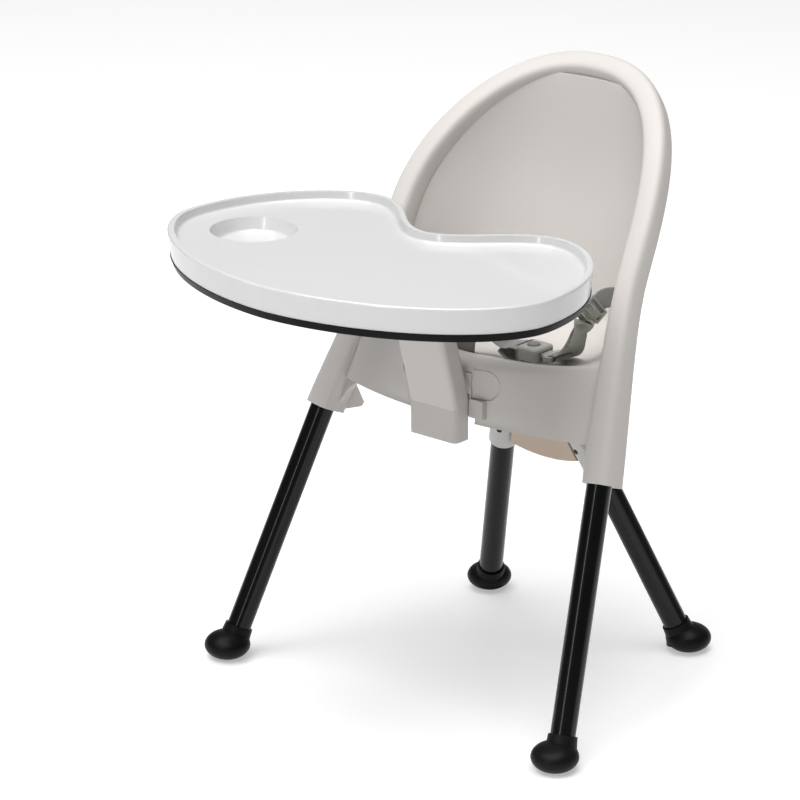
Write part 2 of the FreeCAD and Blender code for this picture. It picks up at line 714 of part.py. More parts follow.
def post():
    wall = 2.8
    half = POST_W / 2
    body = prism_x(post_profile(0, POST_FOOT, HEAD_Z - FIT), -half, half)
    body = rounded(body, lambda e: e.BoundBox.XLength < 0.01 and e.BoundBox.ZLength > 30, 7)
    cavity = prism_x(post_profile(wall, POST_FOOT - 10, HEAD_Z - 8), -half + wall, half - wall)
    cavity = rounded(cavity, lambda e: e.BoundBox.XLength < 0.01 and e.BoundBox.ZLength > 30, 5)
    body = body.cut(cavity)
    web = box(-half + wall - 0.5, half - wall + 0.5, POST_Y + 1, HINGE_Y, HINGE_Z - 12, HINGE_Z + 12)
    knuckle = rod(V(-half, HINGE_Y, HINGE_Z), V(half, HINGE_Y, HINGE_Z), 24)
    body = body.fuse(web).fuse(knuckle)
    body = body.cut(rod(V(-60, HINGE_Y, HINGE_Z), V(60, HINGE_Y, HINGE_Z), PIN_D + 2 * RUN))
    return body.removeSplitter()


# ---------------------------------------------------------------- tray
def tray_wire(z, inset):
    pts = []
    count = 56
    for i in range(count):
        a = 2 * math.pi * i / count
        s = math.sin(a)
        c = math.cos(a)
        if c > 0:
            x = TRAY_W / 2 * math.copysign(abs(s) ** (2 / 1.8), s)
            y = TRAY_MID_Y - TRAY_FRONT * c ** (2 / 1.8)
        else:
            x = TRAY_W / 2 * math.copysign(abs(s) ** (2 / 2.12), s)
            notch = BELLY_CUT * math.exp(-(x / BELLY_HALF) ** 2) * min(1.0, -c * 6)
            y = TRAY_MID_Y + TRAY_BACK * max(-c, 0.0) ** (2 / 2.12) - notch
        pts.append(V(x, y, z))
    curve = Part.BSplineCurve()
    curve.interpolate(Points=pts, PeriodicFlag=True)
    wire = Part.Wire([curve.toShape()])
    if inset > 0:
        moved = []
        n = len(pts)
        for i in range(n):
            tangent = pts[(i + 1) % n] - pts[i - 1]
            inward = V(-tangent.y, tangent.x, 0).normalize()
            moved.append(pts[i] + inward * inset)
        curve = Part.BSplineCurve()
        curve.interpolate(Points=moved, PeriodicFlag=True)
        wire = Part.Wire([curve.toShape()])
    return wire


def tray_slab(z0, z1, inset0, inset1):
    if abs(inset0 - inset1) < 1e-6:
        return Part.Face(tray_wire(z0, inset0)).extrude(V(0, 0, z1 - z0))
    return Part.makeLoft([tray_wire(z0, inset0), tray_wire(z1, inset1)], True, True)


def tray_top():
    floor = TRAY_Z - TRAY_LIP_H
    wall = 2.6
    body = tray_slab(BASE_TOP + GAP, TRAY_Z, 4.0, 0.0)
    body = rounded(body, lambda e: e.BoundBox.ZMin > TRAY_Z - 0.5, 2.6)
    body = body.cut(tray_slab(BASE_TOP - 1, floor - wall, 4.0 + wall, 3.0 + wall))
    well = tray_slab(floor, TRAY_Z + 5, TRAY_LIP_W + 3, TRAY_LIP_W - 1.0)
    well = rounded(well, lambda e: e.BoundBox.ZMax < floor + 0.5, 3.5)
    body = body.cut(well)
    low = floor - CUP_DEPTH
    r = CUP_D / 2
    cup = Part.makeCone(r - CUP_DRAFT, r, CUP_DEPTH, V(CUP_X, CUP_Y, low))
    cup = rounded(cup, lambda e: e.BoundBox.ZMax < low + 0.5, 6)
    cup = cup.fuse(Part.makeCylinder(r, 4, V(CUP_X, CUP_Y, floor)))
    outer = Part.makeCone(r - CUP_DRAFT + wall, r + wall, CUP_DEPTH, V(CUP_X, CUP_Y, low - wall))
    body = body.fuse(outer).cut(cup)
    return body


def tray_base():
    body = tray_slab(BASE_Z, BASE_TOP, 6.5, 3.0)
    body = rounded(body, lambda e: e.BoundBox.ZMax < BASE_Z + 0.5, 2.0)
    body = body.cut(tray_slab(BASE_Z + 3, BASE_TOP + 5, 9.0, 9.0))
    locate = tray_slab(BASE_Z + 1, TRAY_Z - TRAY_LIP_H - 3.2, 9.5, 9.5)
    locate = locate.cut(tray_slab(BASE_Z, TRAY_Z, 12.0, 12.0))
    cup = Part.makeCylinder(CUP_D / 2 + 4, 40, V(CUP_X, CUP_Y, BASE_Z + 3))
    body = body.fuse(locate.cut(cup))
    for x, y in head_holes():
        body = body.cut(rod(V(x, y, BASE_Z - 5), V(x, y, BASE_TOP), 5 + 2 * FIT))
    return body


HEAD_Y0 = -228.0
HEAD_Y1 = -128.0
HEAD_X = 62.0


def head_holes():
    return [(sx * (HEAD_X - 12), y) for sx in (-1, 1) for y in (HEAD_Y0 + 12, HEAD_Y1 - 12)]


def post_head():
    plate = box(-HEAD_X, HEAD_X, HEAD_Y0, HEAD_Y1, HEAD_Z, BASE_Z - FIT)
    plate = rounded(plate, lambda e: e.BoundBox.ZLength > HEAD_T - 1 and e.BoundBox.XLength < 0.01, 14)
    for x, y in head_holes():
        plate = plate.cut(rod(V(x, y, HEAD_Z - 5), V(x, y, TRAY_Z), 5 + 2 * FIT))
    return plate


def tray_base_screws():
    parts = []
    for x, y in head_holes():
        parts.append(screw(V(x, y, HEAD_Z - FIT), 9, 2.8, HEAD_T + 5.5, 5.0))
    return Part.makeCompound(parts)


# ---------------------------------------------------------------- harness
BUCKLE_X = 82.0
BUCKLE_Y = -22.0
BUCKLE_Z = PAN_Z + 15.5


def strap(points, sides, width=WEB_W, thick=WEB_T):
    """Flat webbing through points; sides gives the direction of its width at each."""
    wires = []
    last = len(points) - 1
    for i, p in enumerate(points):
        along = (points[min(i + 1, last)] - points[max(i - 1, 0)]).normalize()
        side = sides[i] - along * sides[i].dot(along)
        side.normalize()
        up = along.cross(side).normalize()
        corners = [p + side * width / 2 + up * thick / 2, p - side * width / 2 + up * thick / 2,
                   p - side * width / 2 - up * thick / 2, p + side * width / 2 - up * thick / 2]
        wires.append(Part.makePolygon(corners + [corners[0]]))
    return Part.makeLoft(wires, True, True)


def lap_route():
    """Lap strap on the +X side: out of its slot, down the side wall, across the seat to the buckle."""
    wall = rim_half(LAP_Z)
    a = V(wall - 36, 17, LAP_Z + 2)
    b = V(wall - 41, -6, LAP_Z - 17)
    inset = (b - a) * 0.12
    pts = [V(wall - 13, LAP_Y + 1.5, LAP_Z), V(wall - 26, LAP_Y - 1.5, LAP_Z + 2), a, a + inset, b - inset, b,
           V(wall - 47, -19, SEAT_Z + 28), V(wall - 58, -25, SEAT_Z + 10),
           V(BUCKLE_X + 35, BUCKLE_Y - 1, BUCKLE_Z + 4.5), V(BUCKLE_X + 26, BUCKLE_Y - 1, BUCKLE_Z + 3.8)]
    tilt = V(0.1, 0.6, 1)
    dirs = [V(0, 0, 1), V(0, 0.1, 1), tilt, tilt, tilt, tilt,
            V(0.3, 1, 0.3), V(0.1, 1, 0), V(0, 1, 0), V(0, 1, 0)]
    return pts, dirs


def crotch_route():
    pts = [V(0, CROTCH_Y, PAN_Z - 3), V(0, CROTCH_Y, PAN_Z + 14), V(2, CROTCH_Y + 1, PAN_Z + 32),
           V(12, CROTCH_Y + 8, PAN_Z + 42), V(28, CROTCH_Y + 19, PAN_Z + 34),
           V(BUCKLE_X - 26, BUCKLE_Y - 8, BUCKLE_Z + 1)]
    dirs = [V(1, 0, 0), V(1, 0, 0), V(1, 0.1, 0.1), V(1, 0.9, 0.1), V(0.2, 1, 0), V(0, 1, 0)]
    return pts, dirs


def crotch_strap():
    pts, dirs = crotch_route()
    return strap(pts, dirs, CROTCH_W * 0.8)


def lap_strap():
    pts, dirs = lap_route()
    return strap(pts, dirs)


def buckle_body():
    x0 = BUCKLE_X - 23
    x1 = BUCKLE_X + 12
    body = box(x0, x1, BUCKLE_Y - 19, BUCKLE_Y + 17, BUCKLE_Z - 8, BUCKLE_Z + 8)
    body = rounded(body, lambda e: e.BoundBox.ZLength > 12, 6)
    body = rounded(body, lambda e: e.BoundBox.ZMin > BUCKLE_Z + 7.5, 3.5)
    body = body.cut(box(x1 - 8, x1 + 2, BUCKLE_Y - 12.3, BUCKLE_Y + 10.3, BUCKLE_Z - 3.2, BUCKLE_Z + 3.2))
    well = Part.makeCylinder(8.4, 14, V(BUCKLE_X - 6, BUCKLE_Y - 1, BUCKLE_Z - 1))
    slot = box(x0 + 2.5, x0 + 6.5, BUCKLE_Y - 17, BUCKLE_Y + 15, BUCKLE_Z - 9, BUCKLE_Z + 9)
    return body.cut(well).cut(slot)


def buckle_button():
    body = Part.makeCylinder(8.0, 6.4, V(BUCKLE_X - 6, BUCKLE_Y - 1, BUCKLE_Z + 3.2))
    return rounded(body, lambda e: e.BoundBox.ZMin > BUCKLE_Z + 9, 1.2)


def buckle_tongue(side):
    """Flat tongue with a webbing slot; the +X one is pushed into the buckle."""
    x0 = BUCKLE_X + 5
    x1 = BUCKLE_X + 33
    z0 = BUCKLE_Z - 2.2
    blade = box(x0, x1 - 12, BUCKLE_Y - 11, BUCKLE_Y + 9, z0, z0 + 4.4)
    head = box(x1 - 14, x1, BUCKLE_Y - 18, BUCKLE_Y + 16, z0 - 0.6, z0 + 5)
    head = rounded(head, lambda e: e.BoundBox.ZLength > 5, 4)
    body = blade.fuse(head)
    body = body.cut(box(x1 - 8, x1 - 3.5, BUCKLE_Y - 15, BUCKLE_Y + 13, z0 - 3, z0 + 9))
    return body.removeSplitter() if side > 0 else mirror(body)


def slider(side):
    """Three-bar webbing adjuster on the lap strap, near its slot."""
    pts, dirs = lap_route()
    at = (pts[3] + pts[4]) * 0.5
    along = (pts[4] - pts[3]).normalize()
    across = (dirs[3] - along * dirs[3].dot(along)).normalize()
    up = along.cross(across).normalize()
    frame = Part.makeBox(19, WEB_W + 8, 5.2, V(-9.5, -WEB_W / 2 - 4, -2.6))
    frame = frame.makeFillet(1.2, [e for e in frame.Edges if e.BoundBox.YLength < 0.01])
    gap = WEB_T + 1.8
    frame = frame.cut(Part.makeBox(30, WEB_W + 1.4, gap, V(-15, -WEB_W / 2 - 0.7, -gap / 2)))
    for x in (-7.2, 1.4):
        frame = frame.cut(Part.makeBox(5.8, WEB_W + 1, 8, V(x, -WEB_W / 2 - 0.5, -4)))
    m = FreeCAD.Matrix(along.x, across.x, up.x, at.x, along.y, across.y, up.y, at.y,
                       along.z, across.z, up.z, at.z, 0, 0, 0, 1)
    frame = frame.transformGeometry(m)
    return frame if side > 0 else mirror(frame)


# ---------------------------------------------------------------- build
def build():
    nodes = {}
    nodes["seat_shell"] = seat_shell()
    nodes["fold_bracket"] = fold_bracket()
    nodes["bracket_screws"] = bracket_screws()
    nodes["fold_shaft"] = fold_shaft()
    nodes["rear_yoke"] = rear_yoke()
    nodes["yoke_panel"] = yoke_panel()
    nodes["latch_knob"] = latch_knob()
    nodes["latch_spring"] = latch_spring()
    nodes["collar_screws"] = collar_screws()
    for side, tag in ((-1, "_l"), (1, "_r")):
        nodes["front_leg" + tag] = front_leg(side)
        nodes["rear_leg" + tag] = rear_leg(side)
        nodes["rear_collar" + tag] = rear_collar(side)
        nodes["front_foot" + tag] = foot(front_axis, side, 0, -FOOT_REACH)
        nodes["rear_foot" + tag] = foot(rear_axis, side, FOOT_REACH / 2, FOOT_REACH / 2)
        nodes["release_button" + tag] = release_button(side)
        nodes["release_spring" + tag] = release_spring(side)
    nodes["hinge_housing"] = hinge_housing()
    nodes["hinge_pin"] = hinge_pin()
    nodes["post"] = post()
    nodes["post_head"] = post_head()
    nodes["tray_base"] = tray_base()
    nodes["tray_top"] = tray_top()
    nodes["tray_base_screws"] = tray_base_screws()
    nodes["crotch_strap"] = crotch_strap()
    nodes["lap_strap_r"] = lap_strap()
    nodes["lap_strap_l"] = mirror(lap_strap())
    nodes["buckle_body"] = buckle_body()
    nodes["buckle_button"] = buckle_button()
    nodes["buckle_tongue_r"] = buckle_tongue(1)
    nodes["buckle_tongue_l"] = buckle_tongue(-1)
    nodes["strap_slider_r"] = slider(1)
    nodes["strap_slider_l"] = slider(-1)
    return nodes


def to_origin():
    """Moves the middle of the footprint to x = 0, y = 0."""
    front = TRAY_MID_Y - TRAY_FRONT
    back = max(rim_y(ARCH_TOP) + RIM_T / 2, rear_axis(FOOT_Z)[1] + FOOT_REACH / 2 + FOOT_D / 2)
    return V(0, -(front + back) / 2, 0)


if __name__ == "__main__":
    os.makedirs("parts", exist_ok=True)
    move = to_origin()
    for name, shape in build().items():
        shape.translate(move)
        save(name, shape)
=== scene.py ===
import bpy
import bmesh
import math
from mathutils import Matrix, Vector

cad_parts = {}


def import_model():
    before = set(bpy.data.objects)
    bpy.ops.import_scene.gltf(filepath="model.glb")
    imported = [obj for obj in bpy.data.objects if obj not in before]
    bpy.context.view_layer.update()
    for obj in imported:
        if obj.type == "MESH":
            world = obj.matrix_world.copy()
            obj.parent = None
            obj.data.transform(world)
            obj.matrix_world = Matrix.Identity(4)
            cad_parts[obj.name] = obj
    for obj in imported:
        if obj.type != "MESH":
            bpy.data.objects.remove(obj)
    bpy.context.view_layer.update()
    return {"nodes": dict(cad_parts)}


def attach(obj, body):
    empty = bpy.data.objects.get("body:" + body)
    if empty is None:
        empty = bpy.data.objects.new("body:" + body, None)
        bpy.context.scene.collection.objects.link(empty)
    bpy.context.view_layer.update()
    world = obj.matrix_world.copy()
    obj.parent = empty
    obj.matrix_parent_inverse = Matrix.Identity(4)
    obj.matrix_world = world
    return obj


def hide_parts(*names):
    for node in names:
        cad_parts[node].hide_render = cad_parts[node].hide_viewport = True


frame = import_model()
NODES = frame["nodes"]
scene = bpy.context.scene


# ------------------------------------------------------------------ material helpers
def new_material(name):
    mat = bpy.data.materials.new(name)
    mat.use_nodes = True
    nt = mat.node_tree
    nt.nodes.clear()
    out = nt.nodes.new("ShaderNodeOutputMaterial")
    bsdf = nt.nodes.new("ShaderNodeBsdfPrincipled")
    nt.links.new(bsdf.outputs[0], out.inputs[0])
    return mat, nt, bsdf


def noise(nt, scale, detail=3.0, rough=0.5, vec=None, stretch=None):
    tex = nt.nodes.new("ShaderNodeTexNoise")
    tex.inputs["Scale"].default_value = scale
    tex.inputs["Detail"].default_value = detail
    tex.inputs["Roughness"].default_value = rough
    if vec is None:
        coord = nt.nodes.new("ShaderNodeTexCoord")
        vec = coord.outputs["Object"]
    if stretch:
        mp = nt.nodes.new("ShaderNodeMapping")
        mp.inputs["Scale"].default_value = stretch
        nt.links.new(vec, mp.inputs["Vector"])
        vec = mp.outputs[0]
    nt.links.new(vec, tex.inputs["Vector"])
    return tex.outputs["Fac"]


def ramp(nt, fac, stops):
    node = nt.nodes.new("ShaderNodeValToRGB")
    els = node.color_ramp.elements
    while len(els) < len(stops):
        els.new(0.5)
    for el, (pos, col) in zip(els, stops):
        el.position = pos
        el.color = (*col, 1) if len(col) == 3 else col
    nt.links.new(fac, node.inputs[0])
    return node.outputs[0]


def span(nt, fac, lo, hi, f0=0.0, f1=1.0):
    node = nt.nodes.new("ShaderNodeMapRange")
    node.inputs["From Min"].default_value = f0
    node.inputs["From Max"].default_value = f1
    node.inputs["To Min"].default_value = lo
    node.inputs["To Max"].default_value = hi
    nt.links.new(fac, node.inputs["Value"])
    return node.outputs[0]


def math_node(nt, op, a, b=None):
    node = nt.nodes.new("ShaderNodeMath")
    node.operation = op
    for sock, val in zip(node.inputs, (a, b)):
        if val is None:
            continue
        if isinstance(val, (int, float)):
            sock.default_value = val
        else:
            nt.links.new(val, sock)
    return node.outputs[0]


def bump(nt, bsdf, height, strength, distance):
    node = nt.nodes.new("ShaderNodeBump")
    node.inputs["Strength"].default_value = strength
    node.inputs["Distance"].default_value = distance
    nt.links.new(height, node.inputs["Height"])
    nt.links.new(node.outputs[0], bsdf.inputs["Normal"])
    return node


def plastic(name, low, high, rough, grain=0.00004, grain_scale=2600, coat=0.0, coat_rough=0.1, sss=0.0,
            spec=0.5):
    """Moulded plastic: faint tone drift, fine grain, uneven gloss."""
    mat, nt, bsdf = new_material(name)
    drift = noise(nt, 6.0, 2.0)
    nt.links.new(ramp(nt, drift, [(0.3, low), (0.7, high)]), bsdf.inputs["Base Color"])
    gloss = noise(nt, 38.0, 4.0)
    nt.links.new(span(nt, gloss, rough * 0.86, rough * 1.14, 0.3, 0.7), bsdf.inputs["Roughness"])
    bump(nt, bsdf, noise(nt, grain_scale, 2.0), 0.35, grain)
    bsdf.inputs["Specular IOR Level"].default_value = spec
    bsdf.inputs["Coat Weight"].default_value = coat
    bsdf.inputs["Coat Roughness"].default_value = coat_rough
    if sss:
        bsdf.inputs["Subsurface Weight"].default_value = sss
        bsdf.inputs["Subsurface Radius"].default_value = (0.006, 0.005, 0.004)
        bsdf.inputs["Subsurface Scale"].default_value = 1.0
    return mat


def metal(name, low, high, rough, stretch=(1, 1, 1)):
    mat, nt, bsdf = new_material(name)
    grain = noise(nt, 180.0, 5.0, 0.6, stretch=stretch)
    nt.links.new(ramp(nt, grain, [(0.25, low), (0.75, high)]), bsdf.inputs["Base Color"])
    nt.links.new(span(nt, grain, rough * 0.8, rough * 1.25, 0.3, 0.7), bsdf.inputs["Roughness"])
    bsdf.inputs["Metallic"].default_value = 1.0
    bump(nt, bsdf, grain, 0.2, 0.00003)
    return mat


def webbing_material(name, dark, light, crest_highlight):
    """Woven strap: ribs across and along the strap from its own UV; colour follows the weave height, painted
    shade in the dips and painted highlight on the crests, plus fibre tone noise.
    """
    mat, nt, bsdf = new_material(name)
    uv = nt.nodes.new("ShaderNodeUVMap")
    uv.uv_map = "strap"
    sep = nt.nodes.new("ShaderNodeSeparateXYZ")
    nt.links.new(uv.outputs[0], sep.inputs[0])
    along, across = sep.outputs[0], sep.outputs[1]
    rib = math_node(nt, "SINE", math_node(nt, "MULTIPLY", along, 2 * math.pi / 0.0017))
    row = math_node(nt, "MULTIPLY", across, 2 * math.pi / 0.0021)
    weft = math_node(nt, "SINE", math_node(nt, "ADD", row, math_node(nt, "MULTIPLY", rib, 1.2)))
    crossed = math_node(nt, "ADD", rib, math_node(nt, "MULTIPLY", weft, 0.8))
    weave = math_node(nt, "MULTIPLY", crossed, 0.28)
    height = math_node(nt, "ADD", weave, 0.5)
    fibre = noise(nt, 900.0, 3.0)
    woven = math_node(nt, "MULTIPLY", height, 0.62)
    fuzz = math_node(nt, "MULTIPLY", fibre, 0.38)
    mixed = math_node(nt, "ADD", woven, fuzz)
    # Colour from weave height: painted shade in the dips, painted highlight on the crests; the fibre noise is
    # real tone drift.
    nt.links.new(ramp(nt, mixed, [(0.2, dark), (0.75, light), (1.0, crest_highlight)]), bsdf.inputs["Base Color"])
    nt.links.new(span(nt, fibre, 0.62, 0.9, 0.3, 0.7), bsdf.inputs["Roughness"])
    bsdf.inputs["Sheen Weight"].default_value = 0.35
    bsdf.inputs["Sheen Roughness"].default_value = 0.45
    bump(nt, bsdf, mixed, 0.7, 0.0004)
    return mat


# ------------------------------------------------------------------ materials
SHELL = plastic("shell_greige", (0.530, 0.505, 0.482), (0.550, 0.525, 0.502), 0.46, sss=0.03, spec=0.2)
HOUSING = plastic("housing_greige", (0.51, 0.486, 0.463), (0.53, 0.506, 0.483), 0.46, spec=0.2)
TRAY = plastic("tray_white", (0.555, 0.555, 0.56), (0.57, 0.57, 0.575), 0.16, grain=0.00001, coat=0.3,
               coat_rough=0.05, sss=0.02)
TRAY_BLACK = plastic("tray_base_black", (0.004, 0.004, 0.0045), (0.007, 0.007, 0.0075), 0.34, spec=0.06)
LEG = plastic("leg_black_paint", (0.0025, 0.0025, 0.003), (0.0045, 0.0045, 0.005), 0.3, grain=0.00001,
              grain_scale=900, coat=0.4, coat_rough=0.03, spec=0.08)
RUBBER = plastic("foot_rubber", (0.004, 0.004, 0.0045), (0.008, 0.008, 0.0085), 0.42, grain=0.00012,
                 grain_scale=1300, spec=0.12)
COLLAR = plastic("collar_grey", (0.47, 0.46, 0.45), (0.50, 0.49, 0.48), 0.38)
PANEL = plastic("panel_beige", (0.44, 0.34, 0.26), (0.52, 0.43, 0.35), 0.45, sss=0.1)
BRACKET = plastic("bracket_powder_coat", (0.33, 0.32, 0.31), (0.38, 0.37, 0.36), 0.5, grain=0.0002,
                  grain_scale=1600)
STEEL = metal("zinc_steel", (0.42, 0.43, 0.45), (0.62, 0.62, 0.62), 0.3)
DARK = metal("black_oxide", (0.02, 0.02, 0.022), (0.05, 0.05, 0.055), 0.45)
KNOB = plastic("knob_black", (0.010, 0.010, 0.011), (0.016, 0.016, 0.017), 0.4, spec=0.35)
BUCKLE = plastic("buckle_grey", (0.30, 0.305, 0.275), (0.36, 0.365, 0.33), 0.42, grain=0.0001)
BUTTON = plastic("button_grey", (0.14, 0.14, 0.13), (0.19, 0.19, 0.18), 0.45, grain=0.0001)
# Third colour of each webbing is the painted highlight on the weave crests.
WEB = webbing_material("webbing_grey", (0.13, 0.13, 0.125), (0.34, 0.335, 0.325), (0.42, 0.415, 0.40))
THREAD = plastic("thread_grey", (0.10, 0.10, 0.095), (0.15, 0.15, 0.14), 0.7)
WEB_KHAKI = webbing_material("webbing_khaki", (0.17, 0.175, 0.14), (0.38, 0.385, 0.32), (0.46, 0.48, 0.33))

LOOK = {
    "seat_shell": SHELL, "post": SHELL, "hinge_housing": HOUSING,
    "release_button_l": HOUSING, "release_button_r": HOUSING,
    "tray_top": TRAY, "tray_base": TRAY_BLACK, "post_head": TRAY_BLACK,
    "front_leg_l": LEG, "front_leg_r": LEG, "rear_leg_l": LEG, "rear_leg_r": LEG,
    "front_foot_l": RUBBER, "front_foot_r": RUBBER, "rear_foot_l": RUBBER, "rear_foot_r": RUBBER,
    "rear_collar_l": COLLAR, "rear_collar_r": COLLAR, "rear_yoke": COLLAR, "yoke_panel": PANEL,
    "fold_bracket": BRACKET, "fold_shaft": STEEL, "hinge_pin": STEEL, "bracket_screws": STEEL,
    "tray_base_screws": STEEL, "release_spring_l": STEEL, "release_spring_r": STEEL, "latch_spring": STEEL,
    "collar_screws": DARK, "latch_knob": KNOB, "buckle_body": BUCKLE, "buckle_button": BUTTON,
    "buckle_tongue_l": BUCKLE, "buckle_tongue_r": BUCKLE, "strap_slider_l": BUCKLE, "strap_slider_r": BUCKLE,
    "crotch_strap": WEB, "lap_strap_l": WEB, "lap_strap_r": WEB,
}
for name, mat in LOOK.items():
    node = NODES[name]
    node.data.materials.clear()
    node.data.materials.append(mat)
    for poly in node.data.polygons:
        poly.use_smooth = True


# ------------------------------------------------------------------ harness webbing
SHIFT_Y = 0.10009         # middle of the footprint
SEAT = 0.426              # front edge of the seat
PAN = SEAT - 0.014        # seat pan
WEB_T = 0.0014            # webbing thickness
WEB_W = 0.0245


def at(x, y, z):
    """Point from millimetres measured before the footprint was centred."""
    return Vector((x / 1000, y / 1000 + SHIFT_Y, z / 1000))


def smooth_path(points, sides, step=0.0016):
    """Smooth curve through the points with the width direction carried along."""
    n = len(points)
    rows = []
    for i in range(n - 1):
        p0, p1, p2, p3 = (points[max(i - 1, 0)], points[i], points[i + 1], points[min(i + 2, n - 1)])
        count = max(3, int((p2 - p1).length / step))
        for k in range(count + (i == n - 2)):
            t = k / count
            t2 = t * t
            t3 = t2 * t
            pos = 0.5 * (2 * p1 + (p2 - p0) * t + (2 * p0 - 5 * p1 + 4 * p2 - p3) * t2
                         + (3 * p1 - p0 - 3 * p2 + p3) * t3)
            ease = t2 * (3 - 2 * t)
            rows.append((pos, sides[i].lerp(sides[i + 1], ease)))
    out = []
    for i, (pos, side) in enumerate(rows):
        along = (rows[min(i + 1, len(rows) - 1)][0] - rows[max(i - 1, 0)][0]).normalized()
        side = (side - along * side.dot(along)).normalized()
        out.append((pos, along, side, along.cross(side).normalized()))
    return out


def ribbon(name, points, sides, width, mat, body, thick=WEB_T, cup=0.0, swap=()):
    """Flat webbing with rounded selvedges, slightly cupped, its own UV in metres."""
    path = smooth_path([at(*p) for p in points], [Vector(d).normalized() for d in sides])
    half = width / 2
    r = thick / 2
    profile = []
    cells = 10
    for k in range(cells + 1):
        u = -1 + 2 * k / cells
        profile.append((u * (half - r), r * (1.0 if abs(u) < 0.98 else 0.9)))
    for a in (0.35, 0.5, 0.65):
        profile.append((half - r + r * math.sin(a * math.pi), r * math.cos(a * math.pi)))
    for k in range(cells + 1):
        u = 1 - 2 * k / cells
        profile.append((u * (half - r), -r * (1.0 if abs(u) < 0.98 else 0.9)))
    for a in (0.35, 0.5, 0.65):
        profile.append((-half + r - r * math.sin(a * math.pi), -r * math.cos(a * math.pi)))
    bm = bmesh.new()
    uv_layer = bm.loops.layers.uv.new("strap")
    rings = []
    run = 0.0
    runs = []
    last = None
    for pos, along, side, up in path:
        if last is not None:
            run += (pos - last).length
        last = pos
        runs.append(run)
        ring = []
        for u, v in profile:
            bow = cup * (u / half) ** 2
            ring.append(bm.verts.new(pos + side * u + up * (v + bow)))
        rings.append(ring)
    m = len(profile)
    for i in range(len(rings) - 1):
        for k in range(m):
            quad = (rings[i][k], rings[i + 1][k], rings[i + 1][(k + 1) % m], rings[i][(k + 1) % m])
            face = bm.faces.new(quad)
            face.smooth = True
            uvs = ((runs[i], profile[k][0]), (runs[i + 1], profile[k][0]),
                   (runs[i + 1], profile[(k + 1) % m][0]), (runs[i], profile[(k + 1) % m][0]))
            for loop, uv in zip(face.loops, uvs):
                loop[uv_layer].uv = uv
    bm.faces.new(list(reversed(rings[0])))
    bm.faces.new(rings[-1])
    bmesh.ops.recalc_face_normals(bm, faces=bm.faces)
    mesh = bpy.data.meshes.new(name)
    bm.to_mesh(mesh)
    bm.free()
    mesh.materials.append(mat)
    obj = bpy.data.objects.new(name, mesh)
    scene.collection.objects.link(obj)
    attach(obj, body)
    if swap:
        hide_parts(*swap)
    return path


def stitch_box(name, path, first, last, width, rows, mat, body, lift=WEB_T / 2):
    """Bar tacks: short raised threads in rows across the webbing."""
    bm = bmesh.new()
    for r in range(rows):
        index = int(first + (last - first) * (r / max(rows - 1, 1)))
        pos, along, side, up = path[min(index, len(path) - 1)]
        for k in range(9):
            u = (k - 4) / 4.5 * width / 2
            centre = pos + side * u + up * (lift + 0.00008)
            half = (side * 0.0011, along * 0.00032, up * 0.00022)
            corners = []
            for sx, sy, sz in ((-1, -1, -1), (1, -1, -1), (1, 1, -1), (-1, 1, -1),
                               (-0.7, -0.6, 1), (0.7, -0.6, 1), (0.7, 0.6, 1), (-0.7, 0.6, 1)):
                corners.append(bm.verts.new(centre + half[0] * sx + half[1] * sy + half[2] * sz))
            for q in ((0, 1, 5, 4), (1, 2, 6, 5), (2, 3, 7, 6), (3, 0, 4, 7), (4, 5, 6, 7), (3, 2, 1, 0)):
                bm.faces.new([corners[j] for j in q])
    bmesh.ops.recalc_face_normals(bm, faces=bm.faces)
    mesh = bpy.data.meshes.new(name)
    bm.to_mesh(mesh)
    bm.free()
    mesh.materials.append(mat)
    obj = bpy.data.objects.new(name, mesh)
    scene.collection.objects.link(obj)
    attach(obj, body)


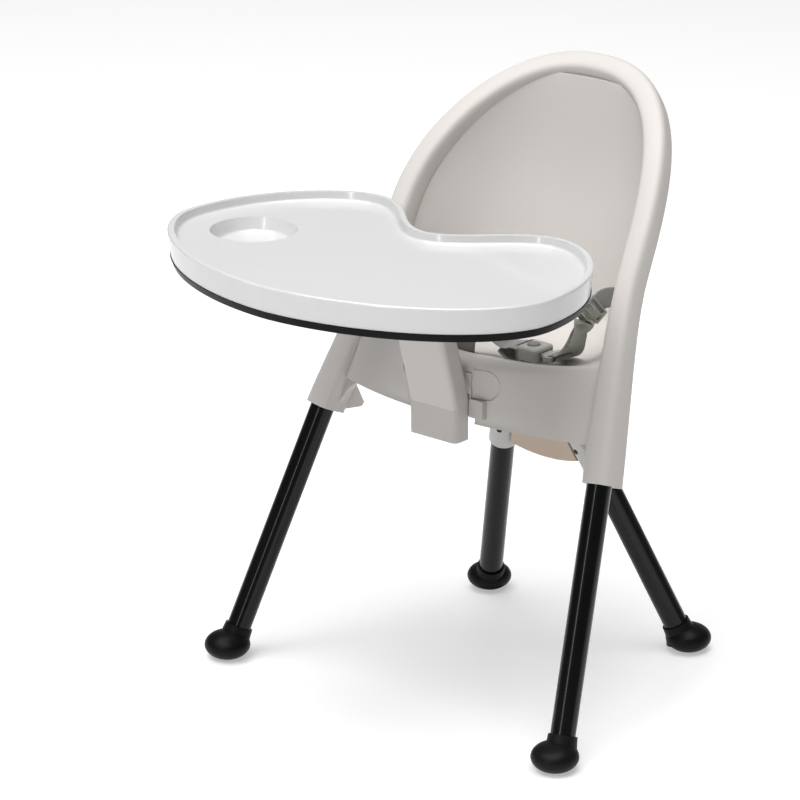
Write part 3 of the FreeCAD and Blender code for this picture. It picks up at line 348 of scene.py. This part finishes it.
def harness():
    seat = SEAT * 1000
    pan = PAN * 1000
    wall = 182.0
    slot_z = seat + 68
    for tag, s in (("r", 1), ("l", -1)):
        pts = [(wall - 15, 41, slot_z - 1), (wall - 26, 37.5, slot_z + 1), (wall - 32, 28, slot_z + 3),
               (wall - 36, 17, slot_z + 2), (wall - 38.5, 5.5, slot_z - 7.5), (wall - 41, -6, slot_z - 17),
               (wall - 47, -19, seat + 28), (wall - 58, -25, seat + 10), (117, -23.4, pan + 20.2),
               (111.5, -23, pan + 19.4), (108.9, -23, pan + 16), (111, -23, pan + 11.8),
               (117, -23.2, pan + 13.4), (wall - 57.5, -24.6, seat + 6)]
        tilt = (0.1, 0.6, 1)
        dirs = [(0, 0, 1), (0, 0.1, 1), (0.05, 0.4, 1), tilt, tilt, tilt, (0.3, 1, 0.3), (0.1, 1, 0)]
        dirs += [(0, 1, 0)] * 5 + [(0.1, 1, 0)]
        pts = [(s * x, y, z) for x, y, z in pts]
        dirs = [(s * x, y, z) for x, y, z in dirs]
        path = ribbon("lap_web_" + tag, pts, dirs, WEB_W, WEB, "chair", swap=("lap_strap_" + tag,))
        n = len(path)
        stitch_box("lap_stitch_" + tag, path, n * 0.60, n * 0.67, 0.02, 3, THREAD, "chair",
                   lift=(WEB_T / 2 if s > 0 else -WEB_T / 2 - 0.0002))
        tail = [(wall - 36.5, 6, slot_z - 5), (wall - 40, -6.5, slot_z - 14.5), (wall - 41, -16, slot_z - 30),
                (wall - 45, -16, seat + 26), (wall - 56, -9, seat + 8), (wall - 72, 2, pan + 8.5),
                (wall - 90, 8, pan + 5.5)]
        tail_dirs = [tilt, tilt, (0.2, 0.8, 0.7), (0.4, 1, 0.3), (0.5, 1, 0), (0.35, 1, 0), (0.3, 1, 0)]
        tail = [(s * x, y, z) for x, y, z in tail]
        tail_dirs = [(s * x, y, z) for x, y, z in tail_dirs]
        ribbon("lap_tail_" + tag, tail, tail_dirs, WEB_W, WEB_KHAKI, "chair")
    pts = [(0, -60, pan - 2), (0, -60, pan + 12), (1, -60, pan + 28), (7, -56, pan + 39),
           (18, -49, pan + 41), (32, -40, pan + 33), (46, -34, pan + 22.5), (56, -30.5, pan + 21),
           (62, -28, pan + 20), (64.6, -27, pan + 15), (62, -28, pan + 7), (54, -32, pan + 8.5),
           (42, -37, pan + 20)]
    dirs = [(1, 0, 0), (1, 0, 0), (1, 0.15, 0), (1, 0.6, 0.1), (0.6, 1, 0.1), (0.3, 1, 0), (0.2, 1, 0),
            (0.1, 1, 0), (0, 1, 0), (0, 1, 0), (0, 1, 0), (0.1, 1, 0), (0.2, 1, 0)]
    path = ribbon("crotch_web", pts, dirs, 0.031, WEB, "chair", swap=("crotch_strap",))
    n = len(path)
    stitch_box("crotch_stitch", path, n * 0.55, n * 0.6, 0.026, 3, THREAD, "chair")


harness()


# ------------------------------------------------------------------ floor, light, camera
FLOOR_GLOW = 0.40


def stage_floor():
    mesh = bpy.data.meshes.new("floor")
    obj = bpy.data.objects.new("floor", mesh)
    scene.collection.objects.link(obj)
    bm = bmesh.new()
    bmesh.ops.create_grid(bm, x_segments=8, y_segments=8, size=14.0)
    bm.to_mesh(mesh)
    bm.free()
    mat, nt, bsdf = new_material("floor_white")
    nt.links.new(ramp(nt, noise(nt, 1.5, 2.0), [(0.0, (0.72, 0.72, 0.72)), (1.0, (0.74, 0.74, 0.74))]),
                 bsdf.inputs["Base Color"])
    nt.links.new(span(nt, noise(nt, 30.0), 0.34, 0.36, 0.3, 0.7), bsdf.inputs["Roughness"])
    bsdf.inputs["Specular IOR Level"].default_value = 0.16
    bsdf.inputs["Emission Color"].default_value = (1.0, 1.0, 1.0, 1.0)
    bsdf.inputs["Emission Strength"].default_value = FLOOR_GLOW
    mesh.materials.append(mat)


def area_light(name, at, target, size, power, color=(1, 1, 1)):
    data = bpy.data.lights.new(name, "AREA")
    data.shape = "RECTANGLE"
    data.size, data.size_y = size
    data.energy = power
    data.color = color
    obj = bpy.data.objects.new(name, data)
    scene.collection.objects.link(obj)
    obj.location = at
    obj.rotation_euler = (Vector(target) - Vector(at)).to_track_quat("-Z", "Y").to_euler()


def camera():
    azimuth, elevation = math.radians(40.657), math.radians(19.165)
    target = Vector((-0.1532, SHIFT_Y, 0.3074))
    level = math.cos(elevation)
    back = Vector((math.sin(azimuth) * level, -math.cos(azimuth) * level, math.sin(elevation)))
    data = bpy.data.cameras.new("camera")
    data.sensor_width = 36.0
    data.lens = 177.91
    data.clip_end = 60
    obj = bpy.data.objects.new("camera", data)
    scene.collection.objects.link(obj)
    obj.location = target + back * 4.8922
    obj.rotation_euler = (-back).to_track_quat("-Z", "Y").to_euler()
    scene.camera = obj


def world():
    w = bpy.data.worlds.new("studio")
    scene.world = w
    w.use_nodes = True
    bg = w.node_tree.nodes["Background"]
    bg.inputs["Color"].default_value = (1.0, 1.0, 1.0, 1)
    bg.inputs["Strength"].default_value = 0.1


stage_floor()
world()
camera()
area_light("top", (0.1, -1.3, 5.0), (0, 0.2, 0), (5.4, 5.4), 455)
area_light("backdrop", (-2.6, 5.2, 1.9), (0, 0, 0.4), (8.0, 3.6), 26)
area_light("front", (0.5, -4.6, 2.4), (0, 0, 0.4), (1.6, 1.6), 6)
area_light("strip", (0.6, -3.6, 1.5), (0, 0, 0.25), (0.2, 2.4), 14)
scene.view_settings.view_transform = "Standard"
scene.view_settings.look = "None"
